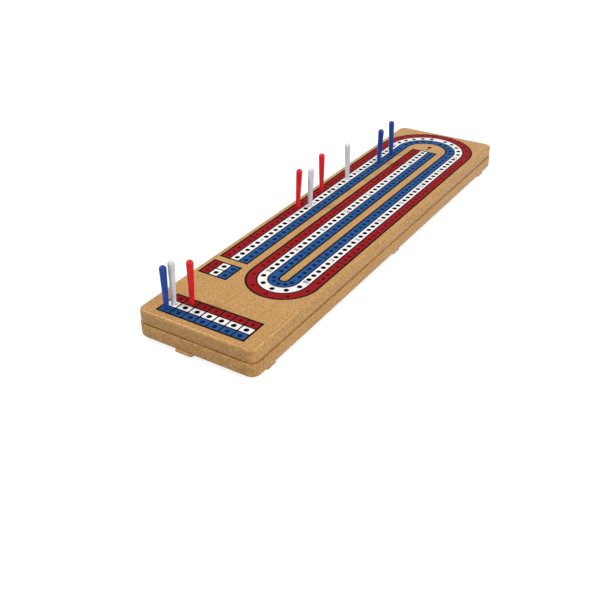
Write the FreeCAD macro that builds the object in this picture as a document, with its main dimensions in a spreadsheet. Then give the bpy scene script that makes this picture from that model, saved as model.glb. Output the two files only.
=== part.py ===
import FreeCAD, Part
import math
import os
import re
import Sketcher
from FreeCAD import Placement, Rotation, Vector

# A moulded plastic cribbage box. The playing board is the upper shell, the box's lower half is a
# base shell on six feet, and a full-length drawer for pegs and cards slides out of the near end.
# Millimetres. +X is to the player's right, -Y is the near end with the start and the drawer front,
# +Y is the far end with the finish, +Z is up. The origin is at the middle of the part's outer box,
# on the surface that the feet stand on.

# Each driving dimension is written once, here, and every feature is bound to its cell.
SIZES = (
    ("hole_pitch", 5.4, "between the peg holes of one group of five"),
    ("group_pitch", 9.5, "from the last hole of a group to the first of the next"),
    ("track_spacing", 25.5, "between the middles of the three straights"),
    ("lane_spacing", 6.4, "between the three hole rows of one straight"),
    ("edge_margin", 8.1, "from the outermost hole row to the box's side and far end"),
    ("first_hole_inset", 75.0, "from the near end to the first hole of the straights"),
    ("far_turn_lead", 5.0, "from the last straight hole to the far turn's middle"),
    ("near_turn_lead", 6.5, "from the first straight hole to the near turn's middle"),
    ("far_turn_step", 16.2, "degrees between holes of the far turn"),
    ("far_turn_clear", 13.1, "degrees from the far turn's crown to its next hole"),
    ("near_turn_step", 38.2, "degrees between holes of the near turn"),
    ("start_gap", 13.3, "from the first straight hole to the nearer start row"),
    ("start_pitch", 8.0, "between the two start rows"),
    ("finish_gap", 12.8, "from the last straight hole to the finish hole"),
    ("games_inset", 14.1, "from the near end to the middle row of games-won holes"),
    ("games_row_pitch", 6.0, "between the rows of games-won holes"),
    ("games_column_pitch", 8.2, "between the columns of games-won holes"),
    ("peg_hole_radius", 1.6, "wall of a peg hole"),
    ("foot_height", 2.0, "from the table to the base shell's underside"),
    ("base_height", 10.2, "from the underside to the parting line"),
    ("board_height", 7.8, "from the parting line to the playing surface"),
    ("corner_radius", 6.0, "upright corners of the lower half"),
    ("top_edge_radius", 2.6, "rounding round the playing surface"),
    ("bottom_edge_radius", 2.5, "rounding round the underside"),
    ("rim_step", 0.4, "how far the lower half stands proud of the board"),
    ("groove_chamfer", 0.5, "bevel that makes the shadow line above the rim"),
    ("side_wall", 2.4, "walls of both shells"),
    ("top_wall", 3.0, "board under the playing surface"),
    ("floor_wall", 1.6, "floor of the base shell"),
    ("tongue_wall", 0.9, "tongue on the base shell's rim"),
    ("tongue_height", 1.5, "height of that tongue"),
    ("tongue_gap", 0.1, "between the tongue and the board's rebate"),
    ("rib_wall", 1.2, "stiffening ribs under the board"),
    ("rib_height", 1.8, "depth of those ribs"),
    ("foot_length", 9.0, "a foot along the box"),
    ("foot_width", 5.0, "a foot across the box"),
    ("foot_inset", 1.6, "from the box's side to a foot"),
    ("foot_end_inset", 17.0, "from the box's end to the middle of an end foot"),
    ("foot_corner", 1.4, "bevelled corners of a foot"),
    ("runner_width", 3.0, "drawer runner on the base shell's floor"),
    ("runner_height", 0.5, "height of that runner"),
    ("runner_spacing", 50.0, "between the two runners' middles"),
    ("front_depth", 7.0, "drawer front, from the near end to its joint with the base shell"),
    ("front_gap", 0.25, "joint between the drawer front and the base shell"),
    ("drawer_gap", 0.2, "running gap under and over the drawer"),
    ("drawer_side_gap", 0.4, "running gap at each side of the drawer"),
    ("drawer_rear_gap", 0.8, "between the shut drawer and the far wall"),
    ("drawer_floor", 1.3, "floor of the drawer"),
    ("drawer_wall", 1.4, "walls and dividers of the drawer"),
    ("drawer_travel", 250.0, "how far the drawer slides before its lugs meet the board"),
    ("card_well_length", 91.5, "well for a stack of cards, along the box"),
    ("card_well_width", 65.5, "clear width between the card guides"),
    ("trough_least", 20.0, "shortest peg trough that still earns its place"),
    ("guide_height", 4.0, "card guide above the drawer's floor"),
    ("scoop_radius", 21.0, "finger scoop through the dividers"),
    ("scoop_depth", 3.6, "depth of that scoop"),
    ("lug_length", 2.0, "stop lug along the box"),
    ("lug_width", 0.9, "stop lug across the box"),
    ("lug_height", 1.4, "stop lug above the drawer's wall"),
    ("tab_width", 12.0, "finger tab across the box"),
    ("tab_reach", 2.0, "finger tab in front of the near end"),
    ("tab_height", 1.6, "thickness of the finger tab"),
    ("tab_corner", 1.5, "rounded corners of the finger tab"),
    ("tab_offset", 7.0, "finger tab's middle, left of the box's middle"),
    ("peg_depth", 5.0, "peg below the playing surface"),
    ("peg_height", 27.3, "peg above the playing surface"),
    ("peg_tip_radius", 1.15, "peg's lower end"),
    ("peg_head_radius", 2.0, "peg's domed upper end"),
)

HOLES_IN_GROUP = 5
GROUPS = 7
STRAIGHT_HOLES = HOLES_IN_GROUP * GROUPS
GAMES_COLUMNS = 7
HOLE_SIDES = 5
PEG_SIDES = 12
GUIDE_SHARES = (0.25, 0.75)  # of a card well's length, where its two guides a side stand
DOME_DROP = 0.7  # of the head's radius, from the top of a peg's sides to its crown
DOME_INSET = 0.3  # of the head's radius, in from the sides at the foot of the crown
OVERCUT = 1.0  # how far a cutting tool stands clear of the face it enters
SAME_PLACE = 1e-6  # coordinates this near are taken as equal
PROBE_RADIUS = 0.2  # a ball that tells material from air beside an edge

# Derived dimensions, as expressions of the cells above.
STRAIGHT = (
    f"({GROUPS * (HOLES_IN_GROUP - 1)} * hole_pitch + {GROUPS - 1} * group_pitch)"
)
HALF_WIDTH = "(track_spacing + lane_spacing + edge_margin)"
LENGTH = (
    f"(first_hole_inset + {STRAIGHT} + far_turn_lead"
    " + track_spacing + lane_spacing + edge_margin)"
)
HALF_LENGTH = f"({LENGTH} / 2)"
BOARD_HALF_WIDTH = f"({HALF_WIDTH} - rim_step)"
BOARD_HALF_LENGTH = f"({HALF_LENGTH} - rim_step)"
PARTING = "(foot_height + base_height)"
PLAYING_SURFACE = f"({PARTING} + board_height)"
CEILING = f"({PLAYING_SURFACE} - top_wall)"
FIRST_HOLE_Y = f"(first_hole_inset - {HALF_LENGTH})"
LAST_HOLE_Y = f"({FIRST_HOLE_Y} + {STRAIGHT})"
BASE_FRONT = f"(front_depth - {HALF_LENGTH})"
BASE_FLOOR = "(foot_height + floor_wall)"
TRAY_BOTTOM = f"({BASE_FLOOR} + runner_height + drawer_gap)"
TRAY_TOP = f"({PARTING} - drawer_gap)"
TRAY_HALF_WIDTH = f"({HALF_WIDTH} - side_wall - drawer_side_gap)"
TRAY_INSIDE = f"({TRAY_HALF_WIDTH} - drawer_wall)"
TRAY_FRONT = f"({BASE_FRONT} - front_gap)"
TRAY_REAR = f"({HALF_LENGTH} - side_wall - drawer_rear_gap)"
TRAY_FLOOR = f"({TRAY_BOTTOM} + drawer_floor)"

document = FreeCAD.newDocument("CribbageBox")
sheet = document.addObject("Spreadsheet::Sheet", "Sizes")


def fill_sheet():
    for row, (alias, size, note) in enumerate(SIZES, 1):
        sheet.set(f"A{row}", note)
        sheet.set(f"B{row}", str(size))
        sheet.setAlias(f"B{row}", alias)
    document.recompute()


def cells(text):
    """The expression that text stands for, with each alias pointed at the sheet."""
    names = "|".join(alias for alias, _, _ in SIZES)
    return re.sub(rf"\b({names})\b", r"Sizes.\1", text)


def number(text):
    return float(sheet.evalExpression(cells(text)))


def bind(thing, property_name, text):
    thing.setExpression(property_name, cells(text))


def new_body(label):
    """A body whose frame is the box's own middle, set back by half of the tab's reach."""
    body = document.addObject("PartDesign::Body", label)
    body.Label = label
    bind(body, "Placement.Base.y", "tab_reach / 2")
    return body


def origin_feature(body, role):
    """A plane or an axis of the body's own origin."""
    return next(item for item in body.Origin.OriginFeatures if item.Role == role)


def new_sketch(body, name, role="XY_Plane", height="0"):
    sketch = body.newObject("Sketcher::SketchObject", name)
    sketch.AttachmentSupport = [(origin_feature(body, role), "")]
    sketch.MapMode = "FlatFace"
    bind(sketch, "AttachmentOffset.Base.z", height)
    return sketch


def hold(sketch, kind, geometry, point, text):
    """Hold one coordinate of a sketch point to the sketch's origin."""
    index = sketch.addConstraint(
        Sketcher.Constraint(kind, -1, 1, geometry, point, number(text))
    )
    bind(sketch, f"Constraints[{index}]", text)


def draw_outline(sketch, corners):
    """A closed outline of straight lines, with each corner a pair of expressions."""
    points = [Vector(number(x), number(y), 0) for x, y in corners]
    first = sketch.GeometryCount
    count = len(points)
    for index, start in enumerate(points):
        sketch.addGeometry(Part.LineSegment(start, points[(index + 1) % count]), False)
    for index, (x, y) in enumerate(corners):
        previous = first + (index - 1) % count
        sketch.addConstraint(
            Sketcher.Constraint("Coincident", previous, 2, first + index, 1)
        )
        hold(sketch, "DistanceX", first + index, 1, x)
        hold(sketch, "DistanceY", first + index, 1, y)


def rectangle(left, right, near, far):
    return ((left, near), (right, near), (right, far), (left, far))


def bevelled_rectangle(left, right, near, far, bevel):
    return (
        (f"({left} + {bevel})", near),
        (f"({right} - {bevel})", near),
        (right, f"({near} + {bevel})"),
        (right, f"({far} - {bevel})"),
        (f"({right} - {bevel})", far),
        (f"({left} + {bevel})", far),
        (left, f"({far} - {bevel})"),
        (left, f"({near} + {bevel})"),
    )


def checked(feature, before, grows):
    """Recompute, and make sure that the feature adds or removes material as it should."""
    document.recompute()
    change = feature.Shape.Volume - before
    if (change > 0) != grows:
        raise RuntimeError(f"{feature.Name} changed the volume by {change:.3f}")
    return feature


def volume_of(body):
    return body.Shape.Volume if body.Tip else 0.0


def pad(body, name, height, length, *outlines):
    """Material from the given height up."""
    before = volume_of(body)
    sketch = new_sketch(body, f"{name}_sketch", height=height)
    for corners in outlines:
        draw_outline(sketch, corners)
    document.recompute()
    feature = body.newObject("PartDesign::Pad", name)
    feature.Profile = sketch
    bind(feature, "Length", length)
    return checked(feature, before, grows=True)


def pocket(body, name, height, depth, *outlines, upwards=False):
    """A cut that starts at the given height and goes down, or up."""
    before = volume_of(body)
    sketch = new_sketch(body, f"{name}_sketch", height=height)
    for corners in outlines:
        draw_outline(sketch, corners)
    document.recompute()
    feature = body.newObject("PartDesign::Pocket", name)
    feature.Profile = sketch
    feature.Reversed = upwards
    bind(feature, "Length", depth)
    return checked(feature, before, grows=False)


def edges_where(feature, test):
    edges = feature.Shape.Edges
    return [f"Edge{index}" for index, edge in enumerate(edges, 1) if test(edge)]


def is_upright(edge):
    box = edge.BoundBox
    return box.ZLength > max(box.XLength, box.YLength) + SAME_PLACE


def is_wall(face):
    return abs(face.normalAt(0, 0).z) < SAME_PLACE


def lies_at(height):
    """A test for edges that lie level at this height."""
    level = number(height)

    def test(edge):
        box = edge.BoundBox
        return max(abs(box.ZMin - level), abs(box.ZMax - level)) < SAME_PLACE

    return test


def round_edges(body, name, base, names, radius):
    feature = body.newObject("PartDesign::Fillet", name)
    feature.Base = (base, names)
    bind(feature, "Radius", radius)
    return checked(feature, base.Shape.Volume, grows=feature_grows(base, names))


def feature_grows(base, names):
    """Whether a fillet on these edges fills a corner in, judged at its first edge."""
    edge = base.Shape.getElement(names[0])
    middle = edge.valueAt((edge.FirstParameter + edge.LastParameter) / 2)
    probe = Part.makeSphere(PROBE_RADIUS, middle)
    return base.Shape.common(probe).Volume > probe.Volume / 2


# Places of the peg holes, as pairs of expressions.


def straight_hole(straight, lane, index):
    """Straights and lanes count from -1 at the left to 1 at the right."""
    groups = index // HOLES_IN_GROUP
    x = f"({straight} * track_spacing + {lane} * lane_spacing)"
    y = f"({FIRST_HOLE_Y} + {index - groups} * hole_pitch + {groups} * group_pitch)"
    return x, y


def turn_hole(middle_x, middle_y, radius, angle):
    """A hole of a turn, its angle in degrees measured from the turn's crown."""
    x = f"({middle_x} + {radius} * sin(({angle}) * 1deg))"
    y = f"({middle_y} + {radius} * cos(({angle}) * 1deg))"
    return x, y


def far_turn_holes(lane):
    middle_y = f"({LAST_HOLE_Y} + far_turn_lead)"
    radius = f"(track_spacing + {lane} * lane_spacing)"
    for side in (-1, 1):
        for index in range(HOLES_IN_GROUP):
            angle = f"{side} * (far_turn_clear + {index} * far_turn_step)"
            yield turn_hole("0", middle_y, radius, angle)


def near_turn_holes(lane):
    middle_y = f"({FIRST_HOLE_Y} - near_turn_lead)"
    radius = f"(-(track_spacing / 2 + {lane} * lane_spacing))"
    for index in range(HOLES_IN_GROUP):
        angle = f"{index - HOLES_IN_GROUP // 2} * near_turn_step"
        yield turn_hole("track_spacing / 2", middle_y, radius, angle)


def start_hole(lane, row):
    x = f"(-track_spacing + {lane} * lane_spacing)"
    y = f"({FIRST_HOLE_Y} - start_gap - {row} * start_pitch)"
    return x, y


def games_hole(column, row):
    """Columns count from the left, rows from -1 at the near end to 1."""
    x = f"({column - GAMES_COLUMNS // 2} * games_column_pitch)"
    y = f"(games_inset - {HALF_LENGTH} + {row} * games_row_pitch)"
    return x, y


def finish_hole():
    return "0", f"({LAST_HOLE_Y} + finish_gap)"


def all_holes_but_finish():
    for lane in (-1, 0, 1):
        for straight in (-1, 0, 1):
            for index in range(STRAIGHT_HOLES):
                yield straight_hole(straight, lane, index)
        yield from far_turn_holes(lane)
        yield from near_turn_holes(lane)
        for row in (0, 1):
            yield start_hole(lane, row)
    for row in (-1, 0, 1):
        for column in range(GAMES_COLUMNS):
            yield games_hole(column, row)


# The board shell: the upper moulding.


def board_moulding():
    body = new_body("board_moulding")
    outside = rectangle(
        f"-{BOARD_HALF_WIDTH}", BOARD_HALF_WIDTH, f"-{BOARD_HALF_LENGTH}", BOARD_HALF_LENGTH
    )
    block = pad(body, "board_block", PARTING, "board_height", outside)
    corners = round_edges(
        body, "board_corners", block, edges_where(block, is_upright), "corner_radius - rim_step"
    )
    crown = round_edges(
        body, "board_crown", corners, edges_where(corners, lies_at(PLAYING_SURFACE)), "top_edge_radius"
    )
    groove = body.newObject("PartDesign::Chamfer", "board_groove")
    groove.Base = (crown, edges_where(crown, lies_at(PARTING)))
    bind(groove, "Size", "groove_chamfer")
    checked(groove, crown.Shape.Volume, grows=False)

    across = f"({BOARD_HALF_WIDTH} - side_wall)"
    along = f"({BOARD_HALF_LENGTH} - side_wall)"
    hollow = rectangle(f"-{across}", across, f"-{along}", along)
    pocket(body, "board_hollow", PARTING, "board_height - top_wall", hollow, upwards=True)

    rebate_side = f"({HALF_WIDTH} - side_wall + tongue_wall + tongue_gap)"
    rebate_end = f"({HALF_LENGTH} - side_wall + tongue_wall + tongue_gap)"
    rebate = rectangle(f"-{rebate_side}", rebate_side, f"-{along}", rebate_end)
    pocket(body, "board_rebate", PARTING, "tongue_height + tongue_gap", rebate, upwards=True)

    board_ribs(body, across)
    return body


def board_ribs(body, across):
    """Two long ribs between the straights, and one across at each gap between groups."""
    rib_level = f"({CEILING} - rib_height)"
    for name, side in (("left", "-"), ("right", "")):
        middle = f"{side}track_spacing / 2"
        rib = rectangle(
            f"({middle} - rib_wall / 2)", f"({middle} + rib_wall / 2)", FIRST_HOLE_Y, LAST_HOLE_Y
        )
        pad(body, f"rib_{name}", rib_level, "rib_height", rib)
    middle = f"({FIRST_HOLE_Y} + {HOLES_IN_GROUP - 1} * hole_pitch + group_pitch / 2)"
    cross_rib = rectangle(
        f"-{across}", across, f"({middle} - rib_wall / 2)", f"({middle} + rib_wall / 2)"
    )
    first = pad(body, "rib_across", rib_level, "rib_height", cross_rib)
    ribs = body.newObject("PartDesign::LinearPattern", "ribs_across")
    ribs.Originals = [first]
    ribs.Direction = (origin_feature(body, "Y_Axis"), [""])
    ribs.Occurrences = GROUPS - 1
    bind(
        ribs, "Length", f"{GROUPS - 2} * ({HOLES_IN_GROUP - 1} * hole_pitch + group_pitch)"
    )
    before = first.Shape.Volume
    body.Tip = ribs
    checked(ribs, before, grows=True)


def hole_tool(place, sides):
    """A prism for one peg hole, with flats at the hole's radius, or a cylinder for no sides."""
    x, y = place
    base = Vector(number(x), number(y) + number("tab_reach / 2"), number(CEILING) - OVERCUT)
    depth = number("top_wall") + 2 * OVERCUT
    radius = number("peg_hole_radius")
    if not sides:
        return Part.makeCylinder(radius, depth, base)
    half_side_angle = 180.0 / sides
    corner_radius = radius / math.cos(math.radians(half_side_angle))
    spoke = Vector(corner_radius, 0, 0)
    turns = [Rotation(Vector(0, 0, 1), 2 * half_side_angle * step) for step in range(sides + 1)]
    ring = Part.makePolygon([base + turn.multVec(spoke) for turn in turns])
    return Part.Face(ring).extrude(Vector(0, 0, depth))


def board_shell():
    moulding = board_moulding()
    tools = document.addObject("Part::Feature", "peg_hole_tools")
    prisms = [hole_tool(place, HOLE_SIDES) for place in all_holes_but_finish()]
    tools.Shape = Part.makeCompound(prisms + [hole_tool(finish_hole(), 0)])
    shell = document.addObject("Part::Cut", "board_shell")
    shell.Base = moulding
    shell.Tool = tools
    shell.Refine = False
    document.recompute()
    return shell


# The lower half: the base shell and the drawer front are cut from the same rounded outline.


def lower_half_outline(body, name, height):
    outside = rectangle(f"-{HALF_WIDTH}", HALF_WIDTH, f"-{HALF_LENGTH}", HALF_LENGTH)
    block = pad(body, f"{name}_block", "foot_height", height, outside)
    corners = round_edges(
        body, f"{name}_corners", block, edges_where(block, is_upright), "corner_radius"
    )
    return round_edges(
        body,
        f"{name}_underside",
        corners,
        edges_where(corners, lies_at("foot_height")),
        "bottom_edge_radius",
    )


def base_shell():
    body = new_body("base_shell")
    lower_half_outline(body, "base", "base_height")
    inside_x = f"({HALF_WIDTH} - side_wall)"
    inside_y = f"({HALF_LENGTH} - side_wall)"
    beyond = f"(-{HALF_LENGTH} - {OVERCUT})"
    bay = rectangle(f"-{inside_x}", inside_x, beyond, inside_y)
    pocket(body, "drawer_bay", PARTING, "base_height - floor_wall", bay)
    wide = f"({HALF_WIDTH} + {OVERCUT})"
    near_end = rectangle(f"-{wide}", wide, beyond, BASE_FRONT)
    pocket(body, "drawer_mouth", PARTING, f"base_height + {OVERCUT}", near_end)

    tongue_x = f"({inside_x} + tongue_wall)"
    tongue_y = f"({inside_y} + tongue_wall)"
    tongue = (
        (f"-{tongue_x}", BASE_FRONT),
        (f"-{inside_x}", BASE_FRONT),
        (f"-{inside_x}", inside_y),
        (inside_x, inside_y),
        (inside_x, BASE_FRONT),
        (tongue_x, BASE_FRONT),
        (tongue_x, tongue_y),
        (f"-{tongue_x}", tongue_y),
    )
    pad(body, "tongue", PARTING, "tongue_height", tongue)

    runners = []
    for side in ("-", ""):
        middle = f"{side}runner_spacing / 2"
        left = f"({middle} - runner_width / 2)"
        right = f"({middle} + runner_width / 2)"
        runners.append(rectangle(left, right, BASE_FRONT, inside_y))
    pad(body, "runners", BASE_FLOOR, "runner_height", *runners)
    base_feet(body)
    return body


def base_feet(body):
    """Six feet, rooted in the floor so that they meet its rounded edge."""
    end_y = f"({HALF_LENGTH} - foot_end_inset)"
    outer_x = f"({HALF_WIDTH} - foot_inset)"
    inner_x = f"({outer_x} - foot_width)"
    outlines = []
    for left, right in ((f"-{outer_x}", f"-{inner_x}"), (inner_x, outer_x)):
        for middle in (f"-{end_y}", "0", end_y):
            near = f"({middle} - foot_length / 2)"
            far = f"({middle} + foot_length / 2)"
            outlines.append(bevelled_rectangle(left, right, near, far, "foot_corner"))
    pad(body, "feet", "0", "foot_height + floor_wall / 2", *outlines)


# The drawer: its front, walls and dividers, and the floor that closes them from below.


def well_spans():
    """Near and far expressions of each well: the peg trough, then as many card wells as fit."""
    room = number(f"{TRAY_REAR} - drawer_wall - {TRAY_FRONT} - trough_least")
    count = int(room // number("card_well_length + drawer_wall"))
    end = f"({TRAY_REAR} - drawer_wall)"
    step = "(card_well_length + drawer_wall)"
    cards = []
    for index in range(count):
        far = f"({end} - {index} * {step})"
        cards.append((f"({far} - card_well_length)", far))
    trough_far = f"({end} - {count} * {step})"
    return (TRAY_FRONT, trough_far), cards


def drawer_front():
    """The box's near end, as deep as its rounded corners, with the trough's sides and the tab."""
    body = new_body("drawer_front")
    lower_half_outline(body, "front", "base_height - drawer_gap")
    wide = f"({HALF_WIDTH} + {OVERCUT})"
    beyond = f"({HALF_LENGTH} + {OVERCUT})"
    behind = rectangle(f"-{wide}", wide, TRAY_FRONT, beyond)
    pocket(body, "front_only", TRAY_TOP, f"base_height + {OVERCUT}", behind)

    near, far = well_spans()[0]
    left = rectangle(f"-{TRAY_HALF_WIDTH}", f"-{TRAY_INSIDE}", near, far)
    right = rectangle(TRAY_INSIDE, TRAY_HALF_WIDTH, near, far)
    pad(body, "trough_sides", TRAY_FLOOR, f"{TRAY_TOP} - {TRAY_FLOOR}", left, right)

    drawer_tab(body)
    return body


def drawer_tray():
    """The walls and dividers of the card wells, which butt against the trough's sides."""
    body = new_body("drawer_tray")
    trough, cards = well_spans()
    tray = rectangle(f"-{TRAY_HALF_WIDTH}", TRAY_HALF_WIDTH, trough[1], TRAY_REAR)
    pad(body, "tray_walls", TRAY_FLOOR, f"{TRAY_TOP} - {TRAY_FLOOR}", tray)

    wells = [rectangle(f"-{TRAY_INSIDE}", TRAY_INSIDE, near, far) for near, far in cards]
    pocket(body, "wells", TRAY_TOP, f"{TRAY_TOP} - {TRAY_FLOOR}", *wells)

    drawer_guides(body, cards)
    drawer_scoop(body, trough, cards)
    drawer_lugs(body)
    return body


def drawer_bottom():
    """The drawer's floor, flat under its walls and against the back of its front."""
    body = new_body("drawer_bottom")
    outline = rectangle(f"-{TRAY_HALF_WIDTH}", TRAY_HALF_WIDTH, TRAY_FRONT, TRAY_REAR)
    pad(body, "bottom_plate", TRAY_BOTTOM, "drawer_floor", outline)
    return body


def drawer_guides(body, cards):
    """Two upright guides at each side of each card well, which centre the cards."""
    tip = "(card_well_width / 2)"
    outlines = []
    for near, far in cards:
        for share in GUIDE_SHARES:
            middle = f"({near} + {share} * ({far} - {near}))"
            low = f"({middle} - drawer_wall / 2)"
            high = f"({middle} + drawer_wall / 2)"
            outlines.append(rectangle(f"-{TRAY_INSIDE}", f"-{tip}", low, high))
            outlines.append(rectangle(tip, TRAY_INSIDE, low, high))
    pad(body, "card_guides", TRAY_FLOOR, "guide_height", *outlines)


def drawer_scoop(body, trough, cards):
    """One round cut along the drawer that dips into every divider."""
    before = volume_of(body)
    first = trough[1]
    last = f"({cards[0][0]})"
    scoop = body.newObject("PartDesign::SubtractiveCylinder", "finger_scoop")
    scoop.AttachmentSupport = [(origin_feature(body, "XZ_Plane"), "")]
    scoop.MapMode = "FlatFace"
    bind(scoop, "Radius", "scoop_radius")
    bind(scoop, "Height", f"{last} - {first} + {OVERCUT}")
    bind(scoop, "AttachmentOffset.Base.y", f"{TRAY_TOP} - scoop_depth + scoop_radius")
    bind(scoop, "AttachmentOffset.Base.z", f"-{last}")
    checked(scoop, before, grows=False)


def drawer_lugs(body):
    """Lugs on the side walls, which meet the board's near wall when the drawer is out."""
    outer = f"({TRAY_HALF_WIDTH} - (drawer_wall - lug_width) / 2)"
    inner = f"({outer} - lug_width)"
    near = f"(side_wall - {BOARD_HALF_LENGTH} + drawer_travel + drawer_gap)"
    far = f"({near} + lug_length)"
    left = rectangle(f"-{outer}", f"-{inner}", near, far)
    right = rectangle(inner, outer, near, far)
    pad(body, "stop_lugs", TRAY_TOP, "lug_height", left, right)


def drawer_tab(body):
    left = "(-tab_offset - tab_width / 2)"
    right = "(-tab_offset + tab_width / 2)"
    reach = f"(-{HALF_LENGTH} - tab_reach)"
    root = f"(-{HALF_LENGTH} + bottom_edge_radius)"
    tab = pad(body, "finger_tab", "foot_height", "tab_height", rectangle(left, right, reach, root))
    front = number(reach)
    corners = [
        name
        for name in edges_where(tab, is_upright)
        if abs(tab.Shape.getElement(name).BoundBox.YMin - front) < SAME_PLACE
    ]
    round_edges(body, "tab_corners", tab, corners, "tab_corner")


# The pegs: each its own piece, leaning a little in the hole that it stands in.

LEAN_HEADING = 32.3  # degrees from +X of the way a positive lean tips a peg
PEGS = (
    ("peg_red_1", games_hole(1, 1), 1.4),
    ("peg_red_2", straight_hole(-1, -1, 13), 3.0),
    ("peg_red_3", straight_hole(-1, -1, 18), 0.4),
    ("peg_white_1", games_hole(0, 0), 1.9),
    ("peg_white_2", straight_hole(-1, 0, 14), 2.0),
    ("peg_white_3", straight_hole(-1, 0, 22), -0.6),
    ("peg_blue_1", games_hole(0, -1), 0.6),
    ("peg_blue_2", straight_hole(-1, 1, 28), 1.8),
    ("peg_blue_3", straight_hole(-1, 1, 31), -1.6),
)


def regular_polygon(radius, sides):
    step = 360 / sides
    return [
        (f"({radius} * cos({index * step}deg))", f"({radius} * sin({index * step}deg))")
        for index in range(sides)
    ]


def bevel_top(body, name, base, drop, inset):
    """Cut the rim of the highest face back, by drop down its sides and inset across it."""
    top = max(face.CenterOfMass.z for face in base.Shape.Faces)
    rim = edges_where(base, lambda edge: abs(edge.CenterOfMass.z - top) < SAME_PLACE)
    feature = body.newObject("PartDesign::Chamfer", name)
    feature.Base = (base, rim)
    feature.ChamferType = "Two distances"
    bind(feature, "Size", drop)
    bind(feature, "Size2", inset)
    return checked(feature, base.Shape.Volume, grows=False)


def peg(label, place, lean):
    """A tapered peg with a domed head, with zero at the playing surface."""
    body = document.addObject("PartDesign::Body", label)
    body.Label = label
    tip = regular_polygon("peg_tip_radius", PEG_SIDES)
    prism = pad(body, f"{label}_prism", "-peg_depth", "peg_depth + peg_height", tip)
    faces = {f"Face{index}": face for index, face in enumerate(prism.Shape.Faces, 1)}
    taper = body.newObject("PartDesign::Draft", f"{label}_taper")
    taper.Base = (prism, [name for name, face in faces.items() if is_wall(face)])
    taper.NeutralPlane = (prism, [min(faces, key=lambda name: faces[name].CenterOfMass.z)])
    taper.Reversed = True
    bind(taper, "Angle", "atan((peg_head_radius - peg_tip_radius) / (peg_depth + peg_height))")
    checked(taper, prism.Shape.Volume, grows=True)
    drop = f"{DOME_DROP} * peg_head_radius"
    inset = f"{DOME_INSET} * peg_head_radius"
    shoulder = bevel_top(body, f"{label}_shoulder", taper, drop, inset)
    bevel_top(body, f"{label}_crown", shoulder, inset, inset)
    heading = Rotation(Vector(0, 0, 1), LEAN_HEADING)
    body.Placement = Placement(Vector(), Rotation(heading.multVec(Vector(0, 1, 0)), lean))
    bind(body, "Placement.Base.x", place[0])
    bind(body, "Placement.Base.y", f"{place[1]} + tab_reach / 2")
    bind(body, "Placement.Base.z", PLAYING_SURFACE)
    document.recompute()
    return body


def check_document():
    for item in document.Objects:
        if "Invalid" in item.State or "Error" in item.State:
            raise RuntimeError(f"{item.Name} failed: {item.State}")


def export(piece):
    shape = piece.Shape
    if shape.isNull() or not shape.isValid():
        raise RuntimeError(f"{piece.Label} has no valid shape")
    if len(shape.Solids) != 1:
        raise RuntimeError(f"{piece.Label} has {len(shape.Solids)} solids")
    shape.exportStep(f"parts/{piece.Label}.step")
    box = shape.BoundBox
    print(f"{piece.Label}: {shape.Volume:.1f} mm3, X {box.XMin:.2f} {box.XMax:.2f},"
          f" Y {box.YMin:.2f} {box.YMax:.2f}, Z {box.ZMin:.2f} {box.ZMax:.2f}")


def main():
    os.makedirs("parts", exist_ok=True)
    fill_sheet()
    pieces = [peg(*row) for row in PEGS]
    pieces += [base_shell(), drawer_front(), drawer_tray(), drawer_bottom(), board_shell()]
    document.recompute()
    check_document()
    for piece in pieces:
        export(piece)


main()
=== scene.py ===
"""A moulded cribbage box: the playing board over a shallow base, with a drawer and nine pegs."""

import math

import bmesh
import bpy
from mathutils import Matrix, Vector


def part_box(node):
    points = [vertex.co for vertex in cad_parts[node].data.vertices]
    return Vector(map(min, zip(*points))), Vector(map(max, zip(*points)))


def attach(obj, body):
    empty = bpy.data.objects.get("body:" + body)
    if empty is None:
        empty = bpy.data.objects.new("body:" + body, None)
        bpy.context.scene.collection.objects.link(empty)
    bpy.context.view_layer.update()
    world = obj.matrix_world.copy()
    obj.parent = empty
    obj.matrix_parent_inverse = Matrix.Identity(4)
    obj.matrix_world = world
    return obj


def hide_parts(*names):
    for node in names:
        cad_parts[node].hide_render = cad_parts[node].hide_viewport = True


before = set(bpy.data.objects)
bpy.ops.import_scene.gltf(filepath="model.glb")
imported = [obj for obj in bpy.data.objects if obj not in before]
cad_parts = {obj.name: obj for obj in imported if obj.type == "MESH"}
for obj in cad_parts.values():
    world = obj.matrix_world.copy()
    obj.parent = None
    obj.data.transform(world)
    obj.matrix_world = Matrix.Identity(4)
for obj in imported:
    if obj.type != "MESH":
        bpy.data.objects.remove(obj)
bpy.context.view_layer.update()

MM = 0.001

# Measures that differ by less than SAME count as equal, and points closer than WELD become one.
SAME = 0.01 * MM
WELD = 0.001 * MM

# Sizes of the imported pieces.
BOARD_LOW, BOARD_HIGH = (Vector(corner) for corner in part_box("board_shell"))
BASE_HIGH = Vector(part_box("base_shell")[1])
DRAWER_HIGH = Vector(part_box("drawer_front")[1])
TRAY_LOW, TRAY_HIGH = (Vector(corner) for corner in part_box("drawer_tray"))
FLOOR_LOW = Vector(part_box("drawer_bottom")[0])

# The seam between the halves is dressed a little below the solids' own.
SEAM_DROP = 0.85 * MM
for corner in (BOARD_LOW, DRAWER_HIGH):
    corner.z -= SEAM_DROP
TOP = BOARD_HIGH.z
PARTING = BOARD_LOW.z
# The base's outline is larger than the board's by this much on every side.
RIM_STEP = 0.4 * MM
FAR_END = BOARD_HIGH.y + RIM_STEP
NEAR_END = BOARD_LOW.y - RIM_STEP
MIDDLE_Y = (FAR_END + NEAR_END) / 2

# The near face is dressed a little further out than the solids' own.
FACE_OUT = 1.0 * MM
BOARD_LOW.y -= FACE_OUT

# How far a piece that is added on reaches into its neighbour, and a cutter past the face it opens.
OVERLAP = 0.2 * MM
DEEP_OVERLAP = 0.5 * MM
PAST = 1 * MM
FAR_PAST = 5 * MM

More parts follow.
